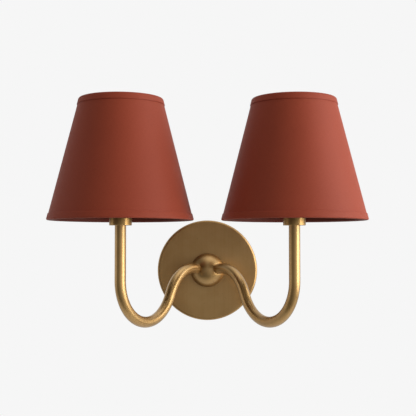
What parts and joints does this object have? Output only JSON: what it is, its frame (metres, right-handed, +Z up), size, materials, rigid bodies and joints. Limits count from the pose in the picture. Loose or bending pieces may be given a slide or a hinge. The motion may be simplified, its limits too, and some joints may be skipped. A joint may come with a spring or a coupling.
{
  "type": "wall sconce",
  "caption": "Double arm wall sconce: round brass backplate, domed hub, S-bent tube arms and cone fabric shades.",
  "frame": {"origin": "centre of the backplate on the wall's surface, which is the centre of the bracket's screw slots", "axes": "+X to the viewer's right, +Y into the wall, +Z up; the two arms mirror each other about X = 0"},
  "size_m": [0.3578, 0.2439, 0.2592],
  "materials": {
    "aged_brass": "aged satin, fine brushed streaks",
    "zinc_steel": "zinc plated",
    "socket_brass": "plain, unpolished",
    "phenolic": "moulded phenolic",
    "block_plastic": "moulded, off-white",
    "lead_sleeve": "extruded insulation",
    "shade_fabric": "tight plain weave, terracotta",
    "shade_backing": "matt laminated backing",
    "shade_tape": "woven trim tape, terracotta",
    "frame_wire": "powder coated, off-white",
    "bulb_glass": "clear",
    "bulb_metal": "nickel plated",
    "bulb_insulator": "dark glass with a solder button",
    "filament": "phosphor coated"
  },
  "bodies": {
    "fixture": {"backplate_pan": "aged_brass", "hub_dome": "aged_brass", "hub_screws": "zinc_steel", "wall_bracket": "zinc_steel", "side_screws": "aged_brass", "earth_screw": "zinc_steel", "earth_washer": "zinc_steel", "terminal_block": "block_plastic", "block_screws": "zinc_steel", "left_arm_tube": "aged_brass", "left_leads": "lead_sleeve", "left_bush": "socket_brass", "left_cup": "aged_brass", "left_lock_nut": "zinc_steel", "left_holder_body": "phenolic", "left_holder_shell": "socket_brass", "left_holder_contact": "socket_brass", "right_arm_tube": "aged_brass", "right_leads": "lead_sleeve", "right_bush": "socket_brass", "right_cup": "aged_brass", "right_lock_nut": "zinc_steel", "right_holder_body": "phenolic", "right_holder_shell": "socket_brass", "right_holder_contact": "socket_brass"},
    "left_shade": {"left_shade_fabric": "shade_fabric", "left_shade_backing": "shade_backing", "left_shade_frame": "frame_wire", "left_shade_bottom_wire": "frame_wire", "left_shade_top_tape": "shade_tape", "left_shade_bottom_tape": "shade_tape"},
    "left_ring": {"left_ring_nut": "phenolic"},
    "left_bulb": {"left_bulb_cap": "bulb_metal", "left_bulb_contact": "bulb_insulator", "left_bulb_glass": "bulb_glass", "left_bulb_stem": "bulb_glass", "left_bulb_filaments": "filament"},
    "right_shade": {"right_shade_fabric": "shade_fabric", "right_shade_backing": "shade_backing", "right_shade_frame": "frame_wire", "right_shade_bottom_wire": "frame_wire", "right_shade_top_tape": "shade_tape", "right_shade_bottom_tape": "shade_tape"},
    "right_ring": {"right_ring_nut": "phenolic"},
    "right_bulb": {"right_bulb_cap": "bulb_metal", "right_bulb_contact": "bulb_insulator", "right_bulb_glass": "bulb_glass", "right_bulb_stem": "bulb_glass", "right_bulb_filaments": "filament"}
  },
  "joints": [
    {"name": "left_shade_turn", "type": "hinge", "parent": "fixture", "child": "left_shade", "pos_m": [-0.09701, -0.16197, 0.07977], "axis": [0, 0, 1], "continuous": true},
    {"name": "left_ring_turn", "type": "hinge", "parent": "fixture", "child": "left_ring", "pos_m": [-0.09701, -0.16197, 0.08107], "axis": [0, 0, 1], "continuous": true},
    {"name": "left_bulb_turn", "type": "hinge", "parent": "fixture", "child": "left_bulb", "pos_m": [-0.09701, -0.16197, 0.08647], "axis": [0, 0, 1], "continuous": true},
    {"name": "right_shade_turn", "type": "hinge", "parent": "fixture", "child": "right_shade", "pos_m": [0.09701, -0.16197, 0.07977], "axis": [0, 0, 1], "continuous": true},
    {"name": "right_ring_turn", "type": "hinge", "parent": "fixture", "child": "right_ring", "pos_m": [0.09701, -0.16197, 0.08107], "axis": [0, 0, 1], "continuous": true},
    {"name": "right_bulb_turn", "type": "hinge", "parent": "fixture", "child": "right_bulb", "pos_m": [0.09701, -0.16197, 0.08647], "axis": [0, 0, 1], "continuous": true}
  ]
}
